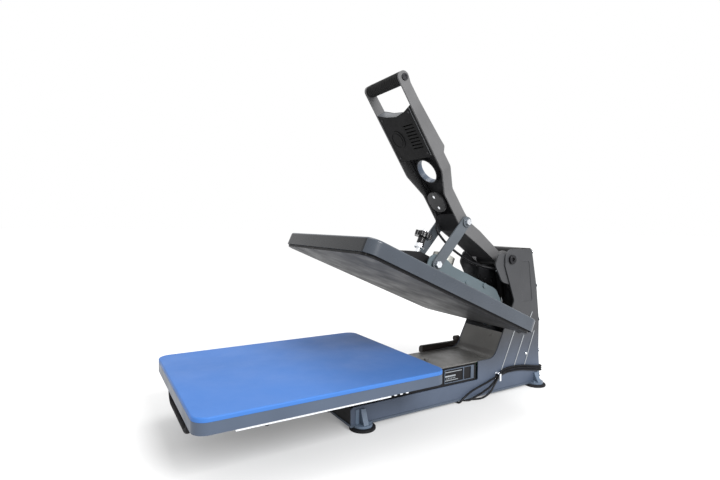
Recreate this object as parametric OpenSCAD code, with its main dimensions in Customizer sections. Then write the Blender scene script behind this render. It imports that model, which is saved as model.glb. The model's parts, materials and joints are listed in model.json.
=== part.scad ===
// Clamshell heat press, 40 x 50 cm, with a drawer-type lower platen and an auto-open toggle lever.
// x runs across, 0 on the centre plane. y is measured from the front edge of the pulled-out lower
// platen and z from a datum just below the ground; centred() then moves the origin to the ground,
// under the middle of the footprint.
// The upper platen, its carrier and the lever are drawn closed, then swung open about their axles.

/* [Platens] */
// Width of both platens
platen_w = 400; // [380:5:400]
// Length of both platens, front to back
platen_l = 500; // [480:5:500]
// Thickness of the lower platen
bed_t = 20; // [15:1:22]
// Thickness of the silicone pad
pad_t = 8; // [6:1:12]
// Corner radius of both platens, seen from above
platen_r = 25; // [10:1:30]
// Height of the top of the silicone pad above the z datum
pad_top = 148; // [148:1:150]

/* [Base] */
// Width over the side panels
base_w = 146; // [144:1:148]
// Thickness of the side panels
panel_t = 4; // [3:0.5:5]
// Radius of the rubber feet
foot_r = 29; // [24:1:29]

/* [Motion] */
// Travel of the drawer
drawer_travel = 260; // [240:5:260]
// Angle of the open upper platen
open_angle = 23.5; // [20:0.5:25]
// Distance from the lever axle to the knee
lever_arm = 172.5; // [172.5:0.5:174]
// Distance from the knee to the link bolt on the carrier
link_length = 139; // [139:0.5:141]

/* [Hidden] */

$fn = 48;
gap = 0.3;
running = 0.05;
total_l = 958;
ground = 7.5;
wall_x = base_w / 2;
inner_x = wall_x - panel_t;
lever_axle_at = [829, 359];
carrier_axle_at = [862, 173];
link_pin_shut = [545.5, 230.7];
gas_pivot_at = [880, 340];
gas_pin_shut = [900, 203];
axle_r = 8;
arm_x = 43;
arm_t = 4;
link_x = 45;
link_t = 5;
link_pin_r = 5;
shut_y = drawer_travel;
platen_y = shut_y + platen_l / 2;
knob_y = 511;
magnet_y = 596;
deck_z = 103;
rail_z = 56;
tray_z = 14;
tray_lip_z = 19;

// --- Plane geometry: points are [y, z] ---

function turned(p, c, a) =
    [c.x + (p.x - c.x) * cos(a) - (p.y - c.y) * sin(a),
     c.y + (p.x - c.x) * sin(a) + (p.y - c.y) * cos(a)];
function bearing(p, q) = atan2(q.y - p.y, q.x - p.x);
function unit(v) = v / norm(v);
// The upper crossing of a circle of radius r about p with one of radius s about q, q in front of p
function knee(p, q, r, s) =
    let (d = norm(q - p), a = (r * r - s * s + d * d) / (2 * d), u = unit(q - p))
    p + a * u + sqrt(r * r - a * a) * [u.y, -u.x];
// An arc that rounds the corner q between p and s
function corner(p, q, s, r, n) =
    let (a = unit(p - q), b = unit(s - q), half = acos(a * b) / 2,
         c = q + unit(a + b) * r / sin(half), t = r / tan(half),
         from = bearing(c, q + a * t), to = bearing(c, q + b * t),
         sweep = (to - from + 540) % 360 - 180)
    [for (i = [0 : n]) c + r * [cos(from + sweep * i / n), sin(from + sweep * i / n)]];
// A closed outline of [y, z, corner radius] rows, with its corners rounded
function outline(rows, n = 6) =
    let (last = len(rows) - 1)
    [for (i = [0 : last])
        let (q = rows[i], p = rows[i == 0 ? last : i - 1], s = rows[i == last ? 0 : i + 1])
        each q[2] == 0 ? [[q.x, q.y]]
            : corner([p.x, p.y], [q.x, q.y], [s.x, s.y], q[2], n)];

link_pin_open = turned(link_pin_shut, carrier_axle_at, -open_angle);
knee_shut = knee(lever_axle_at, link_pin_shut, lever_arm, link_length);
knee_open = knee(lever_axle_at, link_pin_open, lever_arm, link_length);
lever_open = bearing(lever_axle_at, knee_shut) - bearing(lever_axle_at, knee_open) + 360;
gas_pin_open = turned(gas_pin_shut, carrier_axle_at, -open_angle);
gas_length = norm(gas_pin_open - gas_pivot_at);

// --- Shared modules ---

module centred() { translate([0, -total_l / 2, -ground]) children(); }
// Extrudes a [y, z] drawing across the machine, from x to x + t
module slab(x, t) { translate([x, 0, 0]) rotate([90, 0, 90]) linear_extrude(t) children(); }
module both() { children(); mirror([1, 0, 0]) children(); }
// A round bar along x, centred on the [y, z] point p
module bar(p, r, x0, x1, fn = 48) {
    translate([x0, p.x, p.y]) rotate([0, 90, 0]) cylinder(r = r, h = x1 - x0, $fn = fn);
}
module tube_x(p, r, bore, x0, x1) {
    difference() { bar(p, r, x0, x1); bar(p, bore, x0 - 1, x1 + 1); }
}
module round_plate(w, l, r, h) {
    linear_extrude(h) {
        square([w - 2 * r, l], center = true);
        square([w, l - 2 * r], center = true);
        for (sx = [-1, 1], sy = [-1, 1]) translate([sx * (w / 2 - r), sy * (l / 2 - r)]) circle(r, $fn = 64);
    }
}
module upright(x, y, z0, z1, r, fn = 48) {
    translate([x, y, z0]) cylinder(r = r, h = z1 - z0, $fn = fn);
}
module block(x0, x1, y0, y1, z0, z1) {
    translate([x0, y0, z0]) cube([x1 - x0, y1 - y0, z1 - z0]);
}
// Turns what is drawn closed to the open position
module swung(c, a) {
    centred() translate([0, c.x, c.y]) rotate([-a, 0, 0]) translate([0, -c.x, -c.y]) children();
}
module on_carrier() { swung(carrier_axle_at, open_angle) children(); }
module on_lever() { swung(lever_axle_at, lever_open) children(); }
// A hose of n sides swept along the route's points
function ring(c, dir, r, n) =
    let (u = unit(cross(dir, abs(dir.z) > 0.9 * norm(dir) ? [1, 0, 0] : [0, 0, 1])), v = unit(cross(u, dir)))
    [for (i = [0 : n - 1]) c + r * (cos(360 * i / n) * u + sin(360 * i / n) * v)];
// A smooth curve through the route's points, with steps points to each stretch
function spline(p, steps) =
    let (last = len(p) - 1)
    concat([for (i = [0 : last - 1], k = [0 : steps - 1])
        let (a = p[max(i - 1, 0)], b = p[i], c = p[i + 1], d = p[min(i + 2, last)], t = k / steps)
        0.5 * (2 * b + (c - a) * t + (2 * a - 5 * b + 4 * c - d) * t * t
            + (3 * b - a - 3 * c + d) * t * t * t)], [p[last]]);
module hose(route, r, steps = 3, n = 8) {
    path = spline(route, steps);
    last = len(path) - 1;
    points = [for (i = [0 : last])
        each ring(path[i], path[min(i + 1, last)] - path[max(i - 1, 0)], r, n)];
    sides = [for (i = [0 : last - 1], k = [0 : n - 1])
        [i * n + k, i * n + (k + 1) % n, (i + 1) * n + (k + 1) % n, (i + 1) * n + k]];
    start_cap = [for (k = [n - 1 : -1 : 0]) k];
    end_cap = [for (k = [0 : n - 1]) last * n + k];
    polyhedron(points = points, faces = concat([start_cap], sides, [end_cap]));
}

// --- Base and tower ---

panel_outline = [[344, 17, 0], [951, 17, 6], [944, 102, 60], [943, 189, 60], [930, 284, 80],
    [908, 386, 6], [805, 386, 24], [805, 342, 20], [843, 247, 14], [770, deck_z, 30],
    [713, deck_z, 2], [713, rail_z, 3], [344, rail_z, 8]];
panel_ribs = [[[845, 170], [796, 68]], [[881, 152], [844, 72]], [[923, 160], [885, 68]],
    [[914, 213], [903, 193]]];
tower_window = [[864, 352, 5], [898, 352, 5], [914, 243, 5], [874, 243, 5]];

module rib(p, q, w, h) {
    translate([wall_x - 0.5, p.x, p.y]) rotate([bearing(p, q), 0, 0])
        translate([0, 0, -w / 2]) cube([h + 0.5, norm(q - p), w]);
}
module side_panel() {
    centred() difference() {
        union() {
            slab(inner_x, panel_t) polygon(outline(panel_outline));
            for (r = panel_ribs) rib(r[0], r[1], 3, 1.5);
        }
        slab(wall_x - 1.5, 2) polygon(outline(tower_window));
        bar(lever_axle_at, axle_r, 0, 100);
        bar(carrier_axle_at, axle_r, 0, 100);
    }
}
module side_panel_right() { color([0.36, 0.37, 0.4]) side_panel(); }
module side_panel_left() { color([0.36, 0.37, 0.4]) mirror([1, 0, 0]) side_panel(); }

module floor_plate() {
    lip = 2;
    color([0.3, 0.33, 0.37]) centred() difference() {
        block(-wall_x - lip, wall_x + lip, 342, 953, tray_z, tray_lip_z);
        block(-wall_x, wall_x, 344, 951, tray_z + 3, tray_lip_z + 1);
        for (y = [440 : 60 : 860]) upright(0, y, tray_z - 1, tray_z + 4, 9);
    }
}
module front_crossbar() {
    color([0.16, 0.17, 0.2]) centred() {
        block(-inner_x, inner_x, 344, 347, tray_z + 3, rail_z);
        block(9 - inner_x, inner_x - 9, 347, 372, rail_z - 3, rail_z);
    }
}
module deck_panel() {
    t = 3;
    color([0.3, 0.3, 0.31]) centred() {
        difference() {
            slab(-inner_x, 2 * inner_x) polygon(outline([[500, deck_z - t, 0], [773.5, deck_z - t, 33],
                [805, 165, 0], [802, 165, 0], [771, deck_z, 30], [500, deck_z, 0]]));
            upright(0, 604, deck_z - 5, deck_z + 2, 3);
        }
        block(-inner_x, inner_x, 500, 502, 99.2, deck_z);
        upright(0, 604, deck_z, deck_z + 4, 6, 6);
    }
}
back_outline = [[949, 17], [949, 40], [942, 102], [941, 189], [928, 284], [906, 384],
    [904, 384], [926, 284], [939, 189], [940, 102], [947, 40], [947, 17]];
module tower_back_cover() {
    color([0.24, 0.25, 0.27]) centred() difference() {
        slab(-inner_x, 2 * inner_x) polygon(back_outline);
        for (z = [108 : 14 : 164]) block(-40, 40, 930, 960, z, z + 5);
        block(-42, 42, 930, 960, 28, 92);
    }
}
module tower_top_cover() {
    color([0.15, 0.15, 0.16]) centred()
        slab(-inner_x, 2 * inner_x) polygon(outline([[908, 384, 0], [908, 388, 2], [866, 388, 14],
            [858, 372, 0], [860.5, 371, 0], [868, 385.5, 12], [905, 385.5, 0]]));
}
cheek = [[773, 345, 14], [799, 300, 20], [842, 288, 8], [912, 272, 6], [908, 366, 8], [786, 376, 12]];
cheek_bolts = [[899, 353], [899, 284], [872, 289], [845, 298], [818, 305]];
module axle_brackets() {
    color([0.12, 0.12, 0.13]) centred() both() {
        difference() {
            slab(inner_x - 5, 5) polygon(outline(cheek));
            bar(lever_axle_at, axle_r, 0, 100);
            bar(gas_pivot_at, link_pin_r, 0, 100);
        }
        for (b = cheek_bolts) bar(b, 5, inner_x - 9, inner_x - 5, 6);
    }
}
module lever_axle() {
    head = 6;
    color([0.1, 0.1, 0.11]) centred() difference() {
        union() {
            bar(lever_axle_at, axle_r, -wall_x, wall_x);
            both() bar(lever_axle_at, 12, wall_x, wall_x + head);
        }
        both() bar(lever_axle_at, 6, wall_x + head - 4, wall_x + head + 1, 6);
    }
}
module carrier_axle() {
    head = 6;
    color([0.72, 0.74, 0.76]) centred() {
        bar(carrier_axle_at, axle_r, -wall_x, wall_x);
        both() bar(carrier_axle_at, 13, wall_x, wall_x + head, 6);
        bar(gas_pivot_at, link_pin_r, -inner_x, inner_x);
    }
}
module axle_spacers() {
    color([0.2, 0.2, 0.21]) centred() both() {
        tube_x(lever_axle_at, 13, axle_r, arm_x + gap, inner_x - 5);
        tube_x(carrier_axle_at, 12, axle_r, arm_x + gap, inner_x);
    }
}
feet_at = [[wall_x + 1, 372], [wall_x + 1, 929]];
foot_rim_z = ground + 4.5;
module rubber_feet() {
    color([0.07, 0.07, 0.08]) centred() both() for (f = feet_at) difference() {
        union() {
            upright(f.x, f.y, ground, foot_rim_z, foot_r, 64);
            translate([f.x, f.y, foot_rim_z])
                cylinder(r1 = foot_r, r2 = foot_r - 4, h = tray_z - foot_rim_z, $fn = 64);
        }
        upright(f.x, f.y, ground - 1, ground + 1.5, 18);
    }
}
// A round tab over each foot, with a leaning gusset, a stiffening bar and a bolt
function gusset(top) =
    [[wall_x, tray_lip_z], [wall_x + 18, tray_lip_z], [wall_x + 4, top], [wall_x, top]];
module foot_brackets() {
    color([0.42, 0.46, 0.5]) centred() both() for (f = feet_at, end = [f.y < 600 ? 1 : -1]) {
        difference() {
            upright(f.x, f.y, tray_z, tray_lip_z, 22, 64);
            block(0, wall_x + 2, f.y - 30, f.y + 30, 0, 30);
        }
        translate([0, f.y + 6, 0]) rotate([90, 0, 0]) linear_extrude(12) polygon(gusset(f.y < 600 ? 50 : 42));
        block(wall_x, wall_x + 1.5, f.y - end * 13 - 4, f.y - end * 13 + 4, tray_lip_z, 50);
        upright(f.x + 9, f.y + end * 13, tray_lip_z, tray_lip_z + 3, 4, 6);
    }
}
rail_len = 350;
rail_y = 350;
// A C-shaped rail with its back at x, open towards the middle
module rail(x, t, depth, y, z0, z1) {
    difference() {
        block(x - depth, x, y, y + rail_len, z0, z1);
        block(x - depth - 1, x - t, y - 1, y + rail_len + 1, z0 + t, z1 - t);
    }
}
module outer_rails() {
    color([0.1, 0.1, 0.12]) centred() both() {
        rail(inner_x, 2, 11, rail_y, 60, 98);
        block(inner_x - 11, inner_x, rail_y + rail_len + 1, rail_y + rail_len + 9, rail_z, 98);
        block(inner_x - 9, inner_x, rail_y, rail_y + rail_len, rail_z - 6, 60);
    }
}
// Places on the rear edge of the side panels, with how far the edge's normal tips up
back_screws = [[910, 377, 12], [930, 284, 10], [943, 189, 4], [944, 102, 2.5], [950, 32, 4.5]];
module tower_screws() {
    color([0.85, 0.86, 0.88]) centred() both() {
        for (s = back_screws) translate([wall_x - 3, s.x, s.y]) rotate([s.z - 90, 0, 0])
            translate([0, 0, 0.3]) cylinder(r = 5, h = 3, $fn = 32);
        bar([891.5, 100], 3.5, wall_x, wall_x + 2);
    }
}
module control_board() {
    color([0.1, 0.35, 0.2]) centred() {
        block(-55, 55, 770, 900, 24, 26);
        block(-45, -10, 785, 825, 26, 54);
        block(10, 45, 790, 850, 26, 40);
        for (x = [-50, 50], y = [775, 895]) upright(x, y, tray_z + 3, 24, 4);
        for (y = [860 : 12 : 884]) upright(30, y, 26, 46, 5);
    }
}
module inlet_plate() {
    color([0.09, 0.09, 0.1]) centred() difference() {
        union() {
            block(-46, 46, 949, 951, 24, 96);
            block(-16, 16, 925, 954, 36, 64);
            translate([30, 951, 50]) rotate([-90, 0, 0]) cylinder(r = 8, h = 5);
        }
        block(-12, 12, 935, 955, 41, 59);
        block(-41, -21, 948, 955, 35, 65);
        for (x = [-42, 42]) translate([x, 940, 90]) rotate([-90, 0, 0]) cylinder(r = 1.8, h = 20);
    }
}
switch_at = [946, 50];
module rocker_switch() {
    rock = 8;
    color([0.55, 0.06, 0.05]) centred() translate([0, switch_at.x, switch_at.y]) rotate([rock, 0, 0])
        translate([0, -switch_at.x, -switch_at.y]) intersection() {
            block(-40, -22, 934, 953, 37.5, 62.5);
            bar(switch_at, 12, -40, -22);
        }
}
module cable_trunk() {
    color([0.1, 0.08, 0.07]) centred() mirror([1, 0, 0]) {
        difference() {
            union() {
                block(wall_x, wall_x + 16, 648, 772, 98, 107);
                translate([wall_x + 5, 648, 107]) rotate([-90, 0, 0]) cylinder(r = 11, h = 124);
            }
            block(0, wall_x, 600, 800, 80, 130);
            block(wall_x - 8, wall_x + 30, 600, 800, 80, 98);
        }
        translate([wall_x + 10, 772, 122]) rotate([-90, 0, 0]) cylinder(r = 8, h = 14);
        block(wall_x, wall_x + 16, 772, 788, 108, 124);
    }
}
lead_r = 2.3;
lead_routes = [
    [[60, 947.4, 58], [60.5, 951, 58], [68, 954.4, 58], [75.5, 952, 58], [77.5, 943, 58.5],
        [77.5, 905, 65], [77.5, 865, 71.5], [77.5, 820, 73], [77.5, 795, 67.5],
        [77.7, 778, 57], [77.5, 745, 47],
        [77.5, 716, 40], [77.5, 690, 33], [78.2, 668, 24], [78.4, 657, 17.5], [78.2, 651, 13],
        [75.8, 647.5, 10.9], [70, 646, 10.8], [60, 646, 10.8], [50, 646, 10.8]],
    [[60, 947.9, 52.5], [60.5, 951, 52.5], [68, 954.4, 52.5], [75.5, 952, 52.5], [77.5, 943, 53],
        [77.5, 905, 59.5], [77.5, 865, 66], [77.5, 820, 67.5], [79.5, 795, 62],
        [82.8, 778, 55], [84.5, 760, 38], [85.5, 748, 25],
        [84.5, 735, 16.5], [83, 720, 11.8], [80, 704, 10.9], [74, 690, 10.8], [66, 680, 10.8],
        [58, 676.5, 10.8], [50, 676, 10.8]],
    [[60, 948.5, 47], [60.5, 951, 47], [68, 954.4, 47], [75.5, 952, 47], [77.5, 943, 47.5], [77.5, 905, 54],
        [77.5, 865, 60.5], [77.5, 820, 62], [77.5, 795, 58], [77.7, 778, 51.5], [80, 752, 35],
        [80.5, 725, 25], [80, 700, 17.5], [79, 686, 13.2], [76, 679, 10.9], [70, 668, 10.8],
        [62, 662, 10.8], [56, 661, 10.8], [50, 661, 10.8]]];
module side_leads() {
    color([0.05, 0.05, 0.06]) centred() for (r = lead_routes) hose(r, lead_r, 2);
}
module cable_clip() {
    color([0.9, 0.92, 0.94]) centred() {
        block(wall_x, wall_x + 1.5, 773, 783, 44, 66);
        block(wall_x + 1.5, wall_x + 14, 775, 781, 62.5, 64.5);
        block(wall_x + 14, wall_x + 15.5, 775, 781, 46, 64.5);
        upright(wall_x + 7, 778, 64.5, 66.5, 3, 6);
        block(30, 50, 640, 684, tray_z - 5.5, tray_z);
    }
}
module tower_cable() {
    color([0.05, 0.05, 0.06]) centred() {
        hose([[50, 786, 334], [53, 796, 330], [54, 815, 318], [53, 840, 285], [53, 880, 225],
            [52, 895, 160], [48, 893, 90], [42, 884, 50], [40, 880, 26]], cable_r, 3);
        difference() {
            bar([796, 330], 7, 53, 60, 32);
            bar([796, 330], 4, 52, 57, 32);
        }
        block(58, inner_x - 5, 792, 800, 326, 334);
    }
}
module on_gas_axis(x) {
    a = bearing(gas_pivot_at, gas_pin_open);
    translate([x, gas_pivot_at.x, gas_pivot_at.y]) rotate([a + 90, 0, 0]) rotate([180, 0, 0]) children();
}
gas_x = 24;
module gas_spring_cylinders() {
    color([0.08, 0.08, 0.09]) centred() both() difference() {
        on_gas_axis(gas_x) {
            translate([0, 0, 8]) cylinder(r = 9, h = 92);
            translate([-4, -7, -7]) cube([8, 14, 16]);
        }
        bar(gas_pivot_at, link_pin_r + running, 0, 60);
        on_gas_axis(gas_x) translate([0, 0, 30]) cylinder(r = 4.3, h = 80);
    }
}
module gas_spring_rods() {
    clearance = 1.6;
    color([0.75, 0.76, 0.78]) centred() both() difference() {
        on_gas_axis(gas_x) {
            translate([0, 0, 62]) cylinder(r = 4, h = gas_length - 68);
            translate([-4, -9, gas_length - 9]) cube([8, 18, 18]);
        }
        bar(gas_pin_open, link_pin_r + clearance, 0, 60);
    }
}

// --- Drawer ---

module middle_rails() {
    color([0.6, 0.62, 0.65]) centred() both() translate([0, -shut_y / 2, 0])
        rail(inner_x - 4, 2, 6, rail_y, 63.5, 94.5);
}
bed_z = pad_top - pad_t - bed_t;
carriage_y0 = 44;
carriage_bolts_y = [66, 250, 460];
// Pockets in the underside of the bed, either side of the land that the carriage is bolted to
bed_pocket_x = 125;
bed_pocket_w = 118;
module lower_platen() {
    color([0.4, 0.46, 0.54]) centred() difference() {
        translate([0, platen_l / 2, bed_z]) round_plate(platen_w, platen_l, platen_r, bed_t);
        for (x = [-50, 50], y = carriage_bolts_y) upright(x, y, pad_top - pad_t - 4, pad_top, 4);
        both() translate([bed_pocket_x, platen_l / 2, bed_z - 1])
            round_plate(bed_pocket_w, platen_l - 32, 8, bed_t - 6);
    }
}
module silicone_pad() {
    color([0.36, 0.55, 0.87]) centred() translate([0, platen_l / 2, pad_top - pad_t])
        round_plate(platen_w, platen_l, platen_r, pad_t);
}
module drawer_carriage() {
    color([0.2, 0.21, 0.23]) centred() {
        block(-60, 60, carriage_y0, 480, bed_z - 6, bed_z);
        both() block(54, 57, carriage_y0, 235, 62, bed_z - 6);
        block(-54, 54, carriage_y0, carriage_y0 + 3, 70, bed_z - 6);
        block(-54, 54, 232, 235, 70, bed_z - 6);
        for (x = [-50, 50], y = carriage_bolts_y) upright(x, y, bed_z - 9, bed_z - 6, 6, 6);
    }
}
module inner_rails() {
    color([0.7, 0.72, 0.75]) centred() both() difference() {
        block(57, inner_x - 7, rail_y - shut_y, rail_y - shut_y + rail_len, 68, 90);
        for (y = [110, 220]) bar([y, 79], 3, inner_x - 9, inner_x);
    }
}
module drawer_handle() {
    r = 6;
    half = 95;
    bend = 26;
    low = 82;
    color([0.05, 0.05, 0.06]) centred() {
        both() {
            upright(half, 14, low + bend, bed_z, r);
            translate([half - bend, 14, low + bend]) rotate([90, 90, 0]) rotate_extrude(angle = 90, $fn = 48)
                translate([bend, 0]) circle(r, $fn = 32);
            upright(half, 14, bed_z - 3, bed_z, 11);
        }
        bar([14, low], r, -half + bend, half - bend);
    }
}
strip_screws_y = [117, 230, 343];
module edge_strips() {
    color([0.82, 0.86, 0.9]) centred() both() block(186, 198, 65, 362, bed_z - 4, bed_z);
}
module strip_screws() {
    color([0.3, 0.31, 0.33]) centred() both() {
        for (y = strip_screws_y) upright(193, y, bed_z - 7, bed_z - 4, 4, 6);
        for (y = [374, 388, 402]) upright(193, y, bed_z - 4, bed_z, 4, 6);
    }
}

// --- Upper platen and carrier, drawn closed ---

plate_t = 19.7;
cover_z = pad_top + gap + 5.7;
cover_h = 31;
cover_w = platen_w + 14;
cover_l = platen_l + 10;
cover_y = platen_y + 2;
module heat_cover() {
    color([0.2, 0.23, 0.28]) on_carrier() difference() {
        translate([0, cover_y, cover_z]) round_plate(cover_w, cover_l, platen_r + 3, cover_h);
        translate([0, cover_y, cover_z - 1])
            round_plate(cover_w - 5, cover_l - 5, platen_r + 0.5, cover_h - 1.5);
        upright(0, 700, cover_z + cover_h - 5, cover_z + cover_h + 1, 8);
    }
}
module heating_plate() {
    color([0.3, 0.3, 0.31]) on_carrier() difference() {
        translate([0, platen_y, pad_top + gap]) round_plate(platen_w, platen_l, platen_r, plate_t);
        upright(90, platen_y + 120, pad_top + 8, 200, 5);
    }
}
element_x = [-150, -90, -30, 30, 90, 150];
module heating_element() {
    z = pad_top + gap + plate_t + 3.5;
    front = platen_y - 190;
    back = platen_y + 190;
    color([0.55, 0.5, 0.45]) on_carrier() {
        for (x = element_x) translate([x, front, z]) rotate([-90, 0, 0]) cylinder(r = 3.5, h = back - front);
        for (i = [0 : len(element_x) - 2])
            translate([element_x[i] + 30, i % 2 == 0 ? back : front, z]) rotate([0, 0, i % 2 == 0 ? 0 : 180])
                rotate_extrude(angle = 180) translate([30, 0]) circle(3.5, $fn = 24);
    }
}
module insulation() {
    z0 = pad_top + gap + plate_t + 7;
    color([0.85, 0.82, 0.72]) on_carrier() difference() {
        translate([0, platen_y, z0]) round_plate(platen_w - 8, platen_l - 8, platen_r, 6);
        upright(0, 700, z0 - 1, z0 + 20, 8);
    }
}
cover_top = cover_z + cover_h;
flange_outline = [[521, cover_top + 5, 4], [800, 190, 20], [846, 158, 12], [876, 158, 14],
    [914, 194, 10], [908, 218, 10], [870, 205, 20], [804, 219, 20], [766, 246, 30], [600, 246, 30],
    [572, 255, 20], [521, 255, 24]];
module carrier_channel() {
    web_z = cover_top + 5;
    color([0.45, 0.5, 0.53]) on_carrier() {
        both() difference() {
            slab(arm_x - arm_t, arm_t) polygon(outline(flange_outline));
            bar(carrier_axle_at, 11, 0, 60);
            bar(link_pin_shut, link_pin_r, 0, 60);
            bar(gas_pin_shut, link_pin_r, 0, 60);
        }
        difference() {
            block(-arm_x + arm_t, arm_x - arm_t, 522, 790, web_z, web_z + 4);
            upright(0, 700, web_z - 1, web_z + 6, 8);
        }
        bar(gas_pin_shut, link_pin_r, -arm_x, arm_x);
        for (x = [-28, 28], y = [550, 660, 760]) {
            upright(x, y, cover_top, web_z, 8);
            upright(x, y, web_z + 4, web_z + 9, 7, 6);
        }
        upright(0, 700, cover_top - 2, web_z + 10, 8);
        both() {
            bar([722, 240], 7, arm_x, arm_x + 3, 6);
            bar([660, 226], 5, arm_x, arm_x + 2, 32);
        }
    }
}
seat_outline = [[455, cover_top, 3], [561, cover_top, 0], [561, 222, 6], [540, 246, 10],
    [505, 246, 8], [455, 228, 10]];
module spindle_seat() {
    color([0.1, 0.1, 0.11]) on_carrier() difference() {
        slab(-20, 40) polygon(outline(seat_outline));
        upright(0, knob_y, cover_top + 3, 260, 6.05);
        block(-40, 40, 520, 600, cover_top - 1, cover_top + 9.3);
    }
}
module spindle() {
    color([0.7, 0.71, 0.73]) on_carrier() {
        upright(0, knob_y, cover_top + 4, 305, 6);
        upright(0, knob_y, 305, 308, 4.5);
    }
}
module pressure_knob() {
    color([0.06, 0.06, 0.07]) on_carrier() difference() {
        union() {
            upright(0, knob_y, 269, 287, 10);
            upright(0, knob_y, 286, 297, 17);
            translate([0, knob_y, 297]) cylinder(r1 = 17, r2 = 14, h = 3);
            for (i = [0 : 6]) translate([0, knob_y, 0]) rotate([0, 0, i * 360 / 7])
                upright(17.5, 0, 286, 298, 5.2);
        }
        upright(0, knob_y, 260, 310, 6.05);
    }
}
module knob_nut() {
    color([0.9, 0.91, 0.93]) on_carrier() difference() {
        union() {
            upright(0, knob_y, 257, 260, 13);
            upright(0, knob_y, 260, 268.7, 10.5, 6);
        }
        upright(0, knob_y, 250, 270, 6.05);
    }
}
module electromagnet() {
    web_top = cover_top + 9;
    color([0.78, 0.78, 0.76]) on_carrier() difference() {
        union() {
            upright(0, magnet_y, web_top, web_top + 4, 33, 64);
            upright(0, magnet_y, web_top + 4, 271.5, 29, 64);
        }
        difference() {
            upright(0, magnet_y, 268, 273, 21, 64);
            upright(0, magnet_y, 267, 274, 13, 64);
        }
    }
}
module carrier_bushes() {
    color([0.75, 0.6, 0.3]) on_carrier() both()
        tube_x(carrier_axle_at, 11, axle_r + running, arm_x - arm_t - 3, arm_x);
}
module link_pins() {
    color([0.85, 0.88, 0.92]) on_carrier() both() {
        bar(link_pin_shut, link_pin_r, arm_x - arm_t, 57);
        bar(link_pin_shut, 9, link_x + link_t + gap, 57, 6);
        bar(link_pin_shut, 10, arm_x - arm_t - 4, arm_x - arm_t, 6);
    }
}

// --- Lever, drawn closed ---

box_y = [341, 473];
box_z = [277, 301];
panel_z = 303.5;
grip_at = [282, 293];
hole_y = 514;
plate_rows = [[267, 276, 14], [684, 276, 14], [751, 306, 40], [829, 337, 0], [829, 381, 0], [806, 357, 8],
    [771, 345, 40], [718, 327, 40], [683, 311, 12], [648, 307, 12], [520, 305, 6], [478, 304, 5],
    [466, 314, 5], [441, 311, 20], [342, 303, 20], [300, 302, 12], [267, 309, 14]];
// Plan of one side plate: [x, y, corner radius]
plate_plan = [[wall_x, 240, 0], [wall_x, 515, 20], [arm_x, 575, 20], [arm_x, 870, 0],
    [arm_x - arm_t, 870, 0], [arm_x - arm_t, 574, 16], [inner_x, 514, 16], [inner_x, 240, 0]];
module lever_side_plates() {
    color([0.5, 0.5, 0.51]) on_lever() both() difference() {
        union() {
            intersection() {
                slab(0, 80) polygon(outline(plate_rows));
                translate([0, 0, 250]) linear_extrude(170) polygon(outline(plate_plan));
            }
            bar(lever_axle_at, 22, arm_x - arm_t, arm_x);
        }
        bar(lever_axle_at, axle_r + running, 0, 60);
        bar(grip_at, 4, 0, 80);
    }
}
web_plan = [[-inner_x, 476, 0], [inner_x, 476, 0], [inner_x, 514, 16], [arm_x - arm_t, 574, 16],
    [arm_x - arm_t, 648, 0], [arm_t - arm_x, 648, 0], [arm_t - arm_x, 574, 16], [-inner_x, 514, 16]];
arm_web = [[634, 276, 0], [684, 276, 14], [751, 306, 40], [806, 328, 0], [806, 332, 0], [750, 310, 36],
    [683, 280, 10], [634, 280, 0]];
module lever_web() {
    hole_r = 31;
    color([0.11, 0.11, 0.12]) on_lever() {
        difference() {
            union() {
                translate([0, 0, 300]) linear_extrude(4) polygon(outline(web_plan));
                upright(0, hole_y, 288, 304, hole_r + 3, 64);
            }
            upright(0, hole_y, 280, 310, hole_r, 64);
            translate([-80, 440, 280]) cube([160, 36, 30]);
        }
        slab(arm_t - arm_x, 2 * (arm_x - arm_t)) polygon(outline(arm_web));
        upright(0, magnet_y, 279, 300, 12);
        for (x = [-28, 28]) upright(x, 588, 304, 312, 6, 6);
    }
}
module lever_hub() {
    color([0.1, 0.1, 0.11]) on_lever()
        tube_x(lever_axle_at, 20, axle_r + running, arm_t - arm_x, arm_x - arm_t);
}
module hand_grip() {
    color([0.08, 0.08, 0.08]) on_lever() difference() {
        union() {
            bar(grip_at, 14, -inner_x, inner_x);
            for (i = [0 : 17]) bar(grip_at, 15, -62 + i * 7, -57 + i * 7);
        }
        bar(grip_at, 4, -80, 80);
    }
}
module lever_screws() {
    color([0.28, 0.28, 0.3]) on_lever() {
        bar(grip_at, 4, -wall_x, wall_x);
        both() difference() {
            bar(grip_at, 8, wall_x, wall_x + 3);
            bar(grip_at, 4.5, wall_x + 1, wall_x + 4, 6);
        }
        for (x = [-60, 52], y = [356, 462]) upright(x, y, 276, 277, 3.2);
        for (y = [-16, 16]) upright(0, magnet_y + y, 273, 279, 4.5);
    }
}
box_x = inner_x - 0.5;
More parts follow.
